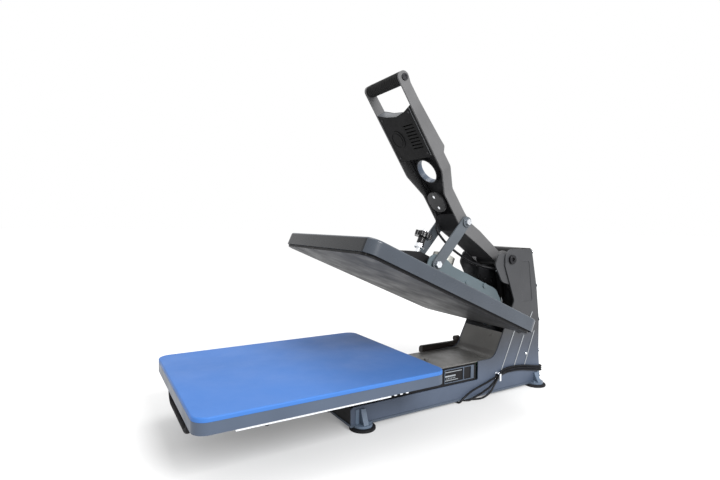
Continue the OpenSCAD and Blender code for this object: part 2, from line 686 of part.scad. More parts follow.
// Plan of the control box, with its bowed-in front wall, drawn t inside its outer faces
function box_plan(t) =
    [[t - box_x, 341 + 2 * t], [-36, 352 + t], [0, 357.5 + t], [36, 352 + t], [box_x - t, 341 + 2 * t],
     [box_x - t, box_y[1] - t], [t - box_x, box_y[1] - t]];
module control_box() {
    t = 2.5;
    color([0.11, 0.11, 0.12]) on_lever() difference() {
        union() {
            translate([0, 0, box_z[0]]) linear_extrude(box_z[1] - box_z[0]) polygon(box_plan(0));
            upright(-34, 414, box_z[0] - 1.5, box_z[0], 24, 64);
        }
        translate([0, 0, box_z[0] + t]) linear_extrude(30) polygon(box_plan(t));
        for (i = [0 : 7]) block(8, 46, 384 + i * 8.5, 387 + i * 8.5, 270, 290);
        block(57, 60, 340, 470, 270, box_z[0] + 1);
        difference() {
            upright(-34, 414, 270, box_z[0] - 0.5, 20, 64);
            upright(-34, 414, 270, box_z[0], 17, 64);
        }
        for (x = [-60, 52], y = [356, 462]) upright(x, y, 270, 290, 1.5);
        block(-48, -32, 460, 480, 282, 292);
    }
}
button_x = [-42, -14, 14, 42];
button_y = 434;
module control_panel() {
    color([0.14, 0.14, 0.15]) on_lever() {
        difference() {
            translate([0, 0, box_z[1]]) linear_extrude(panel_z - box_z[1]) polygon(box_plan(0));
            for (x = button_x) upright(x, button_y, 290, 320, 6.4);
            block(-36, 36, 368, 404, 290, 320);
        }
        block(-50, 50, 364, 466, 284, 285.6);
        for (x = [-48, 48], y = [367, 463]) upright(x, y, 279.5, 284, 2);
    }
}
module display() {
    color([0.1, 0.14, 0.13]) on_lever() {
        block(-36, 36, 368, 404, 299, 303);
        block(-30, 30, 370, 402, 285.6, 299);
    }
}
module button(i) {
    color([0.75, 0.76, 0.78]) on_lever() {
        upright(button_x[i], button_y, 297, 305.5, 6);
        upright(button_x[i], button_y, 290, 297, 2.5);
    }
}
module button_start() { button(0); }
module button_up() { button(1); }
module button_down() { button(2); }
module button_set() { button(3); }

module armature_disc() {
    color([0.24, 0.24, 0.25]) on_lever() difference() {
        upright(0, magnet_y, 272, 279, 29, 64);
        for (y = [-16, 16]) upright(0, magnet_y + y, 271, 280, 4.5);
    }
}
cable_r = 3.2;
// Where the cable hangs between the lever and the tower, with the lever open
hang = [[-17, 646, 437], [-9.5, 654, 417], [1, 669, 396.5], [11.5, 693, 375], [22, 728, 353.5],
    [32, 758, 341], [40, 772, 337]];
module lever_cables() {
    color([0.04, 0.04, 0.05]) on_lever() {
        hose(concat([[-45, 473, 287], [-42, 500, 286], [-41, 530, 285], [-34.6, 565, 284], [-34.4, 600, 284],
            [-32, 617, 281], [-26, 628, 276], [-21, 637, 269]],
            [for (p = hang) let (q = turned([p.y, p.z], lever_axle_at, lever_open)) [p.x, q.x, q.y]]),
            cable_r, 2);
        hose([[-35, 473, 289], [-37, 495, 293], [-38.5, 530, 292], [-33, 562, 292], [-27, 588, 290],
            [-20, 595, 290], [-12.3, 596, 290]], 2.5, 2);
    }
}

// --- Links, drawn open ---

boss_t = 4;
module link_bars() {
    w = 14;
    far = link_length + w;
    ends = [[-w, -w, w - 0.5], [far, -w, w - 0.5], [far, w, w - 0.5], [-w, w, w - 0.5]];
    color([0.45, 0.5, 0.5]) centred() both() difference() {
        union() {
            translate([0, link_pin_open.x, link_pin_open.y]) rotate([bearing(link_pin_open, knee_open), 0, 0])
                slab(link_x, link_t) polygon(outline(ends, 8));
            bar(knee_open, 13, link_x + 1, link_x + link_t + boss_t);
        }
        bar(link_pin_open, link_pin_r + running, 0, 60);
        bar(knee_open, link_pin_r, 0, 60);
    }
}
module knee_bolts() {
    color([0.85, 0.88, 0.92]) centred() both() {
        bar(knee_open, link_pin_r, arm_x + 0.5, link_x + link_t + boss_t);
        bar(knee_open, 8, link_x + link_t + boss_t, 61, 6);
    }
}

side_panel_right();
side_panel_left();
floor_plate();
front_crossbar();
deck_panel();
tower_back_cover();
tower_top_cover();
axle_brackets();
lever_axle();
carrier_axle();
axle_spacers();
rubber_feet();
foot_brackets();
outer_rails();
tower_screws();
control_board();
inlet_plate();
rocker_switch();
cable_trunk();
cable_clip();
side_leads();
tower_cable();
gas_spring_cylinders();
gas_spring_rods();
middle_rails();
lower_platen();
silicone_pad();
drawer_carriage();
inner_rails();
drawer_handle();
edge_strips();
strip_screws();
heat_cover();
heating_plate();
heating_element();
insulation();
carrier_channel();
spindle_seat();
spindle();
pressure_knob();
knob_nut();
electromagnet();
carrier_bushes();
link_pins();
lever_side_plates();
lever_web();
lever_hub();
hand_grip();
lever_screws();
control_box();
control_panel();
display();
button_start();
button_up();
button_down();
button_set();
armature_disc();
lever_cables();
link_bars();
knee_bolts();
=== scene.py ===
import json
import math

import bmesh
import bpy
from mathutils import Matrix, Vector

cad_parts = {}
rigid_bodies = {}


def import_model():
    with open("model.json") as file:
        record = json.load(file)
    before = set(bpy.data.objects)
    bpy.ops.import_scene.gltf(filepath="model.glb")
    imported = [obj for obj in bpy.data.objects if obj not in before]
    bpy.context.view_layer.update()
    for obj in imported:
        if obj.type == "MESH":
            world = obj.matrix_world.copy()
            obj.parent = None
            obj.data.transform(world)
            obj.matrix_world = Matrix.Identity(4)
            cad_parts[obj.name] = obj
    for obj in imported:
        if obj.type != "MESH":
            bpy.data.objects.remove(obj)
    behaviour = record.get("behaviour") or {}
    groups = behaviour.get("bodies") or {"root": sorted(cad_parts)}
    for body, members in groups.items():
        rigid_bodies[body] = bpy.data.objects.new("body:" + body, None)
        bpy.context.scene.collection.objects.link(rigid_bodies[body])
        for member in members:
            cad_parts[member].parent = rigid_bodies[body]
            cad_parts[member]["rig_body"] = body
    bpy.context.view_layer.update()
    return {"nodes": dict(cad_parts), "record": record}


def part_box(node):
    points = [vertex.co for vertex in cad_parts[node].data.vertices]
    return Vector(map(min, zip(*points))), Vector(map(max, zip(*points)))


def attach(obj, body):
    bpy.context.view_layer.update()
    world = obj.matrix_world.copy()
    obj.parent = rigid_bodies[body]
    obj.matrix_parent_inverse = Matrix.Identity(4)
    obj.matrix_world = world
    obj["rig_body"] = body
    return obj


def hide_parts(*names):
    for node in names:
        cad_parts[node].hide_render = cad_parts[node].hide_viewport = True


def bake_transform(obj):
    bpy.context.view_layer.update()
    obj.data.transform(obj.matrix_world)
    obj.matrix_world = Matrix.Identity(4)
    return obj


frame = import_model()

MM = 0.001
HALF_LENGTH = 479
GROUND = 7.5
LEVER_AXLE = (829, 359)
CARRIER_AXLE = (862, 173)
LEVER_OPEN = 56.4035
PLATEN_OPEN = 23.5
HOLE_Y = 514
HOLE_R = 31


def at(x, y, z):
    """A point in metres from the CAD drawing's millimetres."""
    return Vector((x * MM, (y - HALF_LENGTH) * MM, (z - GROUND) * MM))


def swung(x, y, z, axle, angle):
    """A point drawn closed, in millimetres, taken to where it stands open, in metres."""
    turn = math.radians(-angle)
    dy, dz = y - axle[0], z - axle[1]
    return at(x, axle[0] + dy * math.cos(turn) - dz * math.sin(turn),
              axle[1] + dy * math.sin(turn) + dz * math.cos(turn))


def on_lever(x, y, z):
    return swung(x, y, z, LEVER_AXLE, LEVER_OPEN)


def on_platen(x, y, z):
    return swung(x, y, z, CARRIER_AXLE, PLATEN_OPEN)


# --- Camera, stage and light ---

def add_camera():
    azimuth, down, roll = math.radians(58.25), math.radians(1.33), math.radians(0.71)
    forward = Vector((-math.sin(azimuth) * math.cos(down), math.cos(azimuth) * math.cos(down),
                      -math.sin(down)))
    level = Vector((math.cos(azimuth), math.sin(azimuth), 0))
    right = math.cos(roll) * level + math.sin(roll) * level.cross(forward)
    up = right.cross(forward)
    data = bpy.data.cameras.new("camera")
    data.sensor_width = 36
    data.lens = 23.35
    data.shift_x = -0.0168
    data.shift_y = -0.0053
    data.clip_start = 0.01
    camera = bpy.data.objects.new("camera", data)
    bpy.context.scene.collection.objects.link(camera)
    camera.matrix_world = Matrix.Translation((0.9316, -0.6191, 0.4377)) @ Matrix(
        (right, up, -forward)).transposed().to_4x4()
    bpy.context.scene.camera = camera


def area_light(name, place, target, size, power):
    data = bpy.data.lights.new(name, "AREA")
    data.shape = "RECTANGLE"
    data.size, data.size_y = size
    data.energy = power
    light = bpy.data.objects.new(name, data)
    bpy.context.scene.collection.objects.link(light)
    light.location = place
    light.rotation_euler = (Vector(target) - Vector(place)).to_track_quat("-Z", "Y").to_euler()


def add_stage():
    mesh = bpy.data.meshes.new("floor")
    half = 30
    corners = [(-half, -half, 0), (half, -half, 0), (half, half, 0), (-half, half, 0)]
    mesh.from_pydata(corners, [], [(0, 1, 2, 3)])
    floor = bpy.data.objects.new("floor", mesh)
    bpy.context.scene.collection.objects.link(floor)
    material = bpy.data.materials.new("floor_white")
    material.use_nodes = True
    shader = material.node_tree.nodes["Principled BSDF"]
    shader.inputs["Base Color"].default_value = (0.5, 0.5, 0.5, 1)
    shader.inputs["Roughness"].default_value = 0.95
    shader.inputs["Specular IOR Level"].default_value = 0.0
    shader.inputs["Emission Color"].default_value = (1, 1, 1, 1)
    tree = material.node_tree
    coords = tree.nodes.new("ShaderNodeTexCoord")
    distance = tree.nodes.new("ShaderNodeVectorMath")
    distance.operation = "LENGTH"
    tree.links.new(coords.outputs["Object"], distance.inputs[0])
    glow = tree.nodes.new("ShaderNodeMapRange")
    for socket, value in (("From Min", 0.3), ("From Max", 1.1), ("To Min", 0.2), ("To Max", 0.52)):
        glow.inputs[socket].default_value = value
    tree.links.new(distance.outputs["Value"], glow.inputs["Value"])
    tree.links.new(glow.outputs["Result"], shader.inputs["Emission Strength"])
    mesh.materials.append(material)
    world = bpy.data.worlds.new("world")
    bpy.context.scene.world = world
    world.use_nodes = True
    world.node_tree.nodes["Background"].inputs["Color"].default_value = (1, 1, 1, 1)
    world.node_tree.nodes["Background"].inputs["Strength"].default_value = 1.0
    bpy.context.scene.view_settings.view_transform = "Standard"


add_camera()
add_stage()
area_light("key", (2.4, 0.1, 1.7), (0, 0.1, 0.3), (1.2, 1.0), 115)
area_light("top", (-0.3, 0.1, 2.8), (0, 0, 0.1), (1.4, 1.4), 34)


# --- Materials ---

def new_material(name, color, roughness, metallic=0.0, specular=0.5):
    """A Principled material; colours are linear. Returns the material, its node tree and its shader."""
    material = bpy.data.materials.new(name)
    material.use_nodes = True
    tree = material.node_tree
    shader = tree.nodes["Principled BSDF"]
    shader.inputs["Base Color"].default_value = (*color, 1)
    shader.inputs["Roughness"].default_value = roughness
    shader.inputs["Metallic"].default_value = metallic
    shader.inputs["Specular IOR Level"].default_value = specular
    return material, tree, shader


def add_node(tree, kind, **settings):
    """A node with its attributes set and, by input name, its input values or links."""
    made = tree.nodes.new("ShaderNode" + kind)
    inputs = settings.pop("inputs", {})
    for key, value in settings.items():
        setattr(made, key, value)
    for key, value in inputs.items():
        socket = made.inputs[key]
        if isinstance(value, bpy.types.NodeSocket):
            tree.links.new(value, socket)
        else:
            socket.default_value = value
    return made


def place(tree, stretch=(1, 1, 1)):
    """Texture coordinates in metres that move with the piece, stretched along x, y and z."""
    coords = add_node(tree, "TexCoord")
    mapping = add_node(tree, "Mapping", inputs={"Vector": coords.outputs["Object"], "Scale": stretch})
    return mapping.outputs["Vector"]


def noise(tree, scale, detail=3.0, stretch=(1, 1, 1), rough=0.55):
    made = add_node(tree, "TexNoise", inputs={
        "Vector": place(tree, stretch), "Scale": scale, "Detail": detail, "Roughness": rough})
    return made.outputs["Fac"]


def ramp(tree, value, low, high, out_low=0.0, out_high=1.0):
    made = add_node(tree, "MapRange", inputs={
        "Value": value, "From Min": low, "From Max": high, "To Min": out_low, "To Max": out_high})
    return made.outputs["Result"]


def mix_color(tree, factor, first, second):
    made = add_node(tree, "Mix", data_type="RGBA")
    for index, value in ((0, factor), (6, first), (7, second)):
        if isinstance(value, bpy.types.NodeSocket):
            tree.links.new(value, made.inputs[index])
        elif index == 0:
            made.inputs[index].default_value = value
        else:
            made.inputs[index].default_value = (*value, 1)
    return made.outputs[2]


def bump(tree, shader, height, strength, distance):
    made = add_node(tree, "Bump", inputs={"Height": height, "Strength": strength, "Distance": distance})
    if shader.inputs["Normal"].is_linked:
        tree.links.new(shader.inputs["Normal"].links[0].from_socket, made.inputs["Normal"])
    tree.links.new(made.outputs["Normal"], shader.inputs["Normal"])


def edge_mask(tree, radius):
    """1 on edges and 0 elsewhere, from how far a rounded normal leans off the true one."""
    rounded = add_node(tree, "Bevel", samples=4, inputs={"Radius": radius})
    true = add_node(tree, "NewGeometry")
    dot = add_node(tree, "VectorMath", operation="DOT_PRODUCT")
    tree.links.new(rounded.outputs["Normal"], dot.inputs[0])
    tree.links.new(true.outputs["Normal"], dot.inputs[1])
    return ramp(tree, dot.outputs["Value"], 0.97, 0.75)


def lighter(color, by):
    return tuple(min(1.0, c * by) for c in color)


def powder_coat(name, color, roughness=0.5, grain=900, depth=0.25, edge_wear_and_highlight=0.0, specular=0.4):
    """Powder coat: fine orange peel, cloudy tone, dust in the finish, and edges painted lighter, partly as
    rubbed wear and partly as a painted highlight.
    """
    material, tree, shader = new_material(name, color, roughness, 0, specular)
    cloud = ramp(tree, noise(tree, 9, 4), 0.3, 0.7)
    tone = mix_color(tree, cloud, lighter(color, 0.86), lighter(color, 1.12))
    fleck = ramp(tree, noise(tree, 2600, 1), 0.64, 0.74, 0, 0.35)
    tone = mix_color(tree, fleck, tone, lighter(color, 1.9))
    # Edges lightened through the bevel mask: partly rubbed wear, partly a painted highlight where light
    # catches the edges.
    if edge_wear_and_highlight:
        edge_breakup = ramp(tree, noise(tree, 160, 5), 0.42, 0.6, 0.25, 1)
        edge = add_node(tree, "Math", operation="MULTIPLY")
        tree.links.new(edge_mask(tree, 0.0012), edge.inputs[0])
        tree.links.new(edge_breakup, edge.inputs[1])
        amount = add_node(tree, "Math", operation="MULTIPLY", inputs={1: edge_wear_and_highlight})
        tree.links.new(edge.outputs[0], amount.inputs[0])
        tone = mix_color(tree, amount.outputs[0], tone, lighter(color, 2.6))
    tree.links.new(tone, shader.inputs["Base Color"])
    tree.links.new(ramp(tree, noise(tree, 40, 4), 0.3, 0.7, roughness - 0.07, roughness + 0.08),
                   shader.inputs["Roughness"])
    bump(tree, shader, noise(tree, grain, 2), depth, 0.0003)
    return material


def graded_coat(name, low_color, high_color, low, high):
    """Powder coat whose tone runs from one colour to another with height, in metres."""
    material = powder_coat(name, high_color, 0.42, edge_wear_and_highlight=0.6, specular=0.3)
    tree = material.node_tree
    shader = tree.nodes["Principled BSDF"]
    height = add_node(tree, "SeparateXYZ", inputs={"Vector": place(tree)})
    tone = ramp(tree, height.outputs["Z"], low, high)
    made = tree.nodes.new("ShaderNodeMix")
    made.data_type = "RGBA"
    made.blend_type = "MULTIPLY"
    made.inputs[0].default_value = 1.0
    tree.links.new(shader.inputs["Base Color"].links[0].from_socket, made.inputs[6])
    ratio = tuple(a / b for a, b in zip(low_color, high_color))
    tree.links.new(mix_color(tree, tone, ratio, (1, 1, 1)), made.inputs[7])
    tree.links.new(made.outputs[2], shader.inputs["Base Color"])
    return material


def gloss_paint(name, color, roughness=0.22):
    """Smooth baked paint with a clear top, faint waviness and handling smears."""
    material, tree, shader = new_material(name, color, roughness, 0, 0.2)
    cloud = ramp(tree, noise(tree, 5, 3), 0.35, 0.65)
    tree.links.new(mix_color(tree, cloud, lighter(color, 0.88), lighter(color, 1.12)),
                   shader.inputs["Base Color"])
    smear = ramp(tree, noise(tree, 22, 6, (1, 0.4, 1), 0.65), 0.4, 0.75, roughness, roughness + 0.16)
    tree.links.new(smear, shader.inputs["Roughness"])
    shader.inputs["Coat Weight"].default_value = 0.12
    shader.inputs["Coat Roughness"].default_value = 0.12
    bump(tree, shader, noise(tree, 60, 2), 0.08, 0.0006)
    bump(tree, shader, noise(tree, 1500, 1), 0.06, 0.0001)
    return material


def silicone(name, color):
    """Pressed silicone sheet: an even open texture, a dusty bloom and faint press marks."""
    material, tree, shader = new_material(name, color, 0.55, 0, 0.12)
    cloud = ramp(tree, noise(tree, 4, 5, (1, 0.6, 1)), 0.3, 0.7)
    tone = mix_color(tree, cloud, lighter(color, 0.92), lighter(color, 1.07))
    dust = ramp(tree, noise(tree, 700, 3), 0.6, 0.75, 0, 0.14)
    tone = mix_color(tree, dust, tone, lighter(color, 1.8))
    tree.links.new(tone, shader.inputs["Base Color"])
    shader.inputs["Sheen Weight"].default_value = 0.04
    shader.inputs["Sheen Roughness"].default_value = 0.5
    tree.links.new(ramp(tree, noise(tree, 12, 5), 0.3, 0.7, 0.42, 0.58), shader.inputs["Roughness"])
    bump(tree, shader, noise(tree, 1800, 2), 0.18, 0.0002)
    return material


def rubber(name, color, roughness=0.75, grain=1100):
    material, tree, shader = new_material(name, color, roughness, 0, 0.12)
    bloom = ramp(tree, noise(tree, 55, 5), 0.45, 0.75)
    tree.links.new(mix_color(tree, bloom, color, lighter(color, 1.9)), shader.inputs["Base Color"])
    bump(tree, shader, noise(tree, grain, 3), 0.3, 0.0003)
    return material


def plastic(name, color, roughness=0.5, grain=2200, specular=0.4):
    """Moulded plastic with a spark-eroded grain."""
    material, tree, shader = new_material(name, color, roughness, 0, specular)
    cell = add_node(tree, "TexVoronoi", inputs={"Vector": place(tree), "Scale": grain})
    cloud = ramp(tree, noise(tree, 30, 4), 0.35, 0.7)
    tree.links.new(mix_color(tree, cloud, lighter(color, 0.85), lighter(color, 1.25)),
                   shader.inputs["Base Color"])
    tree.links.new(ramp(tree, noise(tree, 90, 3), 0.3, 0.7, roughness - 0.06, roughness + 0.07),
                   shader.inputs["Roughness"])
    bump(tree, shader, cell.outputs["Distance"], 0.22, 0.00015)
    return material


def plated(name, color, roughness=0.2):
    """Bright zinc or nickel plate: crystalline patches of tone and gloss."""
    material, tree, shader = new_material(name, color, roughness, 1)
    patch = add_node(tree, "TexVoronoi", inputs={"Vector": place(tree), "Scale": 420})
    tone = ramp(tree, patch.outputs["Distance"], 0.1, 0.8)
    tree.links.new(mix_color(tree, tone, lighter(color, 0.82), lighter(color, 1.1)),
                   shader.inputs["Base Color"])
    tree.links.new(ramp(tree, noise(tree, 260, 4), 0.3, 0.7, roughness - 0.08, roughness + 0.14),
                   shader.inputs["Roughness"])
    bump(tree, shader, noise(tree, 900, 2), 0.1, 0.0001)
    return material


def drawn_metal(name, color, along, roughness=0.32, metallic=1.0):
    """Metal with fine lines along one axis, x, y or z."""
    stretch = [260, 260, 260]
    stretch["xyz".index(along)] = 6
    material, tree, shader = new_material(name, color, roughness, metallic)
    line = noise(tree, 8, 4, tuple(stretch), 0.7)
    tree.links.new(mix_color(tree, ramp(tree, line, 0.3, 0.7), lighter(color, 0.78), lighter(color, 1.15)),
                   shader.inputs["Base Color"])
    tree.links.new(ramp(tree, line, 0.3, 0.7, roughness - 0.08, roughness + 0.12), shader.inputs["Roughness"])
    bump(tree, shader, line, 0.15, 0.0001)
    return material


def coated_plate(name, color):
    """Cast aluminium under a dark non-stick coat: pitted, with rubbed patches."""
    material, tree, shader = new_material(name, color, 0.5, 0, 0.12)
    pit = ramp(tree, noise(tree, 1500, 3), 0.55, 0.7, 0, 0.5)
    cloud = ramp(tree, noise(tree, 7, 6, (1, 0.7, 1)), 0.3, 0.7)
    tone = mix_color(tree, cloud, lighter(color, 0.85), lighter(color, 1.18))
    tree.links.new(mix_color(tree, pit, tone, lighter(color, 0.55)), shader.inputs["Base Color"])
    tree.links.new(ramp(tree, noise(tree, 18, 5), 0.3, 0.7, 0.36, 0.56), shader.inputs["Roughness"])
    bump(tree, shader, noise(tree, 1200, 3), 0.2, 0.0002)
    return material


def woven_blanket(name, color):
    material, tree, shader = new_material(name, color, 0.95, 0, 0.1)
    weave = add_node(tree, "TexWave", bands_direction="DIAGONAL", inputs={
        "Vector": place(tree), "Scale": 260, "Distortion": 3.0, "Detail": 2.0})
    tree.links.new(mix_color(tree, weave.outputs["Fac"], lighter(color, 0.8), color),
                   shader.inputs["Base Color"])
    bump(tree, shader, weave.outputs["Fac"], 0.5, 0.0006)
    return material


def screen_glass(name, color):
    """Dark display glass with a faint smear."""
    material, tree, shader = new_material(name, color, 0.08, 0, 0.5)
    smear = noise(tree, 60, 5)
    tree.links.new(ramp(tree, smear, 0.3, 0.7, 0.05, 0.16), shader.inputs["Roughness"])
    tree.links.new(mix_color(tree, smear, lighter(color, 0.8), lighter(color, 1.3)),
                   shader.inputs["Base Color"])
    return material


FINISH = {
    "charcoal": powder_coat("charcoal", (0.038, 0.039, 0.042), 0.42, edge_wear_and_highlight=0.6, specular=0.3),
    "panel_coat": graded_coat("panel_coat", (0.056, 0.072, 0.105), (0.032, 0.033, 0.036), 0.05, 0.16),
    # A lighter coat that is a painted highlight, used on rib faces and on the control box's groove.
    "painted_highlight": powder_coat("painted_highlight", (0.2, 0.21, 0.22), 0.35, specular=0.4),
    "floor_blue": powder_coat("floor_blue", (0.055, 0.07, 0.095), 0.4, edge_wear_and_highlight=0.5, specular=0.3),
    "foot_steel": powder_coat("foot_steel", (0.085, 0.115, 0.16), 0.35, edge_wear_and_highlight=0.5),
    "deck_grey": powder_coat("deck_grey", (0.09, 0.088, 0.084), 0.34, grain=500, specular=0.4),
    "black_coat": powder_coat("black_coat", (0.009, 0.009, 0.01), 0.45, specular=0.14),
    "bed_paint": gloss_paint("bed_paint", (0.05, 0.066, 0.096), 0.35),
    "cover_paint": gloss_paint("cover_paint", (0.038, 0.045, 0.056), 0.24),
    # Darker paint for the cover's front faces: painted shade.
    "cover_painted_shade": gloss_paint("cover_painted_shade", (0.009, 0.01, 0.012), 0.2),
    "teal_coat": powder_coat("teal_coat", (0.07, 0.092, 0.104), 0.4, edge_wear_and_highlight=0.4, specular=0.3),
    "link_coat": powder_coat("link_coat", (0.058, 0.067, 0.077), 0.36, edge_wear_and_highlight=0.6, specular=0.3),
    "lever_coat": powder_coat("lever_coat", (0.082, 0.082, 0.084), 0.4, edge_wear_and_highlight=0.7, specular=0.25),
    # Lighter coat for the wall of the lever's hole: painted light on the collar.
    "painted_collar_light": powder_coat("painted_collar_light", (0.05, 0.065, 0.09), 0.3, specular=0.3),
    "web_coat": powder_coat("web_coat", (0.026, 0.026, 0.028), 0.6, specular=0.06),
    "pad_silicone": silicone("pad_silicone", (0.036, 0.118, 0.34)),
    # Lighter silicone for the pad's side faces: a painted highlight on the rim.
    "pad_rim_painted_light": silicone("pad_rim_painted_light", (0.09, 0.29, 0.52)),
    "black_rubber": rubber("black_rubber", (0.009, 0.009, 0.01)),
    "grip_rubber": rubber("grip_rubber", (0.007, 0.007, 0.007), 0.6, 1500),
    "black_plastic": plastic("black_plastic", (0.0075, 0.0075, 0.008), 0.5, 2200, 0.08),
    "box_lip": plastic("box_lip", (0.07, 0.075, 0.082), 0.4, 2200, 0.3),
    "knob_plastic": plastic("knob_plastic", (0.005, 0.005, 0.006), 0.25, 1200, 0.35),
    "cable": rubber("cable", (0.005, 0.005, 0.006), 0.35, 500),
    "zinc": plated("zinc", (0.75, 0.78, 0.82)),
    "chrome": plated("chrome", (0.85, 0.87, 0.9), 0.1),
    "dark_bolt": plated("dark_bolt", (0.035, 0.035, 0.038), 0.35),
    "rail": drawn_metal("rail", (0.4, 0.43, 0.46), "y", 0.3),
    "rod": drawn_metal("rod", (0.62, 0.64, 0.66), "z", 0.15),
    "strip": drawn_metal("strip", (0.62, 0.64, 0.67), "y", 0.5, 0.3),
    "plate": coated_plate("plate", (0.034, 0.034, 0.035)),
    "nickel": drawn_metal("nickel", (0.4, 0.4, 0.37), "x", 0.35),
    "bronze": plated("bronze", (0.5, 0.35, 0.15), 0.4),
    "element": drawn_metal("element", (0.2, 0.18, 0.16), "y", 0.5),
    "blanket": woven_blanket("blanket", (0.5, 0.47, 0.4)),
    "board": plastic("board", (0.02, 0.13, 0.06), 0.25, 600),
    "glass": screen_glass("glass", (0.012, 0.016, 0.016)),
    "digit": plastic("digit", (0.75, 0.12, 0.03), 0.3, 3000),
    "button": plastic("button", (0.3, 0.31, 0.33), 0.35, 3000),
    "switch_red": plastic("switch_red", (0.35, 0.012, 0.012), 0.25, 3000),
    "disc_dark": powder_coat("disc_dark", (0.03, 0.03, 0.032), 0.35, specular=0.3),
    "trunk": plastic("trunk", (0.014, 0.01, 0.008), 0.4, 800, 0.25),
}

# CAD node: its finish, and the width of its rounded edges in millimetres, 0 where it shows as it is
NODES = {
    "side_panel_right": ("panel_coat", 0.5), "side_panel_left": ("panel_coat", 0.5),
    "floor_plate": ("floor_blue", 0.8), "front_crossbar": ("black_coat", 0.6),
    "deck_panel": ("deck_grey", 1.0), "tower_back_cover": ("charcoal", 0.4),
    "tower_top_cover": ("black_coat", 0.4), "axle_brackets": ("charcoal", 0.6),
    "lever_axle": ("dark_bolt", 0.8), "carrier_axle": ("dark_bolt", 0.8),
    "axle_spacers": ("black_coat", 0), "rubber_feet": ("black_rubber", 1.2),
    "foot_brackets": ("foot_steel", 0.5), "outer_rails": ("black_coat", 0.4),
    "tower_screws": ("chrome", 0.8), "control_board": ("board", 0),
    "inlet_plate": ("black_plastic", 0.6), "rocker_switch": ("switch_red", 0.8),
    "cable_trunk": ("trunk", 1.2), "cable_clip": ("chrome", 0.4),
    "gas_spring_cylinders": ("black_coat", 0.8), "gas_spring_rods": ("rod", 0.3),
    "middle_rails": ("rail", 0), "lower_platen": ("bed_paint", 1.6),
    "drawer_carriage": ("black_coat", 0.5), "inner_rails": ("rail", 0.4),
    "drawer_handle": ("black_rubber", 0), "edge_strips": ("strip", 0.4),
    "strip_screws": ("chrome", 0.4),
    "heating_plate": ("plate", 1.0), "heating_element": ("element", 0),
    "insulation": ("blanket", 0), "carrier_channel": ("teal_coat", 0.6),
    "spindle_seat": ("black_coat", 1.2), "spindle": ("chrome", 0.5),
    "pressure_knob": ("knob_plastic", 1.5), "knob_nut": ("chrome", 0.8),
    "electromagnet": ("nickel", 1.0), "carrier_bushes": ("bronze", 0),
    "link_pins": ("zinc", 0.8), "lever_side_plates": ("lever_coat", 0.8),
    "lever_web": ("web_coat", 0.8), "lever_hub": ("black_coat", 0),
    "hand_grip": ("grip_rubber", 0.4), "lever_screws": ("dark_bolt", 0.4),
    "control_box": ("black_plastic", 1.2), "control_panel": ("black_plastic", 0.8),
    "display": ("glass", 0.3), "button_start": ("button", 0.8), "button_up": ("button", 0.8),
    "button_down": ("button", 0.8), "button_set": ("button", 0.8),
    "armature_disc": ("disc_dark", 0.8), "link_bars": ("link_coat", 0.8),
    "knee_bolts": ("zinc", 0.9),
}
SLOT = {row["node"]: row["material_slot"] for row in frame["record"]["subparts"]}


# --- Building pieces ---

def body_name(node):
    return frame["nodes"][node]["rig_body"]


def shade(mesh, angle=38):
    mesh.shade_smooth()
    mesh.set_sharp_from_angle(angle=math.radians(angle))


def new_piece(name, mesh, material, body, *nodes, slot=None):
    """A mesh made into a piece that rides on a body and stands for the given CAD nodes."""
    piece = bpy.data.objects.new(name, mesh)
    bpy.context.scene.collection.objects.link(piece)
    mesh.materials.clear()
    mesh.materials.append(material)
    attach(piece, body)
    if nodes:
        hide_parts(*nodes)
    return piece


def weighted(piece):
    normals = piece.modifiers.new("weighted", "WEIGHTED_NORMAL")
    normals.keep_sharp = True
    return piece


def cleaned(node):
    """A CAD node's mesh with its seams joined and its flat faces made whole."""
    form = bmesh.new()
    form.from_mesh(frame["nodes"][node].data)
    bmesh.ops.remove_doubles(form, verts=form.verts, dist=0.000005)
    bmesh.ops.dissolve_limit(form, angle_limit=math.radians(1), verts=form.verts, edges=form.edges)
    return form


def round_edges(form, width, segments=2, limit=32, keep=None):
    edges = [e for e in form.edges if len(e.link_faces) == 2 and e.calc_face_angle(0) > math.radians(limit)
             and (keep is None or keep(e))]
    if edges:
        bmesh.ops.bevel(form, geom=edges, offset=width * MM, offset_type="OFFSET", segments=segments,
                        profile=0.5, affect="EDGES", clamp_overlap=True)


def refined(node, finish, width):
    """A copy of a CAD node with its hard edges rounded, shown in its place."""
    form = cleaned(node)
    round_edges(form, width)
    mesh = bpy.data.meshes.new(node + "_finish")
    form.to_mesh(mesh)
    form.free()
    shade(mesh)
    piece = new_piece(node + "_finish", mesh, FINISH[finish], body_name(node), node, slot=SLOT.get(node))
    return weighted(piece)


def second_finish(piece, finish, chosen):
    """Gives the faces that chosen(centre, normal) picks another finish."""
    piece.data.materials.append(FINISH[finish])
    index = len(piece.data.materials) - 1
    for face in piece.data.polygons:
        if chosen(face.center, face.normal):
            face.material_index = index


made = {}
for node, (finish, width) in NODES.items():
    if width:
        made[node] = refined(node, finish, width)
    else:
        target = frame["nodes"][node].data.materials
        target.clear()
        target.append(FINISH[finish])


def unit_on_lever(y, z):
    """A direction drawn on the closed lever, as it points with the lever open."""
    turn = math.radians(-LEVER_OPEN)
    return Vector((0, y * math.cos(turn) - z * math.sin(turn), y * math.sin(turn) + z * math.cos(turn)))


def closed_lever(point):
    """A point of the open lever, in metres, back in the closed drawing's millimetres."""
    turn = math.radians(LEVER_OPEN)
    dy = point.y / MM + HALF_LENGTH - LEVER_AXLE[0]
    dz = point.z / MM + GROUND - LEVER_AXLE[1]
    return Vector((point.x / MM, LEVER_AXLE[0] + dy * math.cos(turn) - dz * math.sin(turn),
                   LEVER_AXLE[1] + dy * math.sin(turn) + dz * math.cos(turn)))


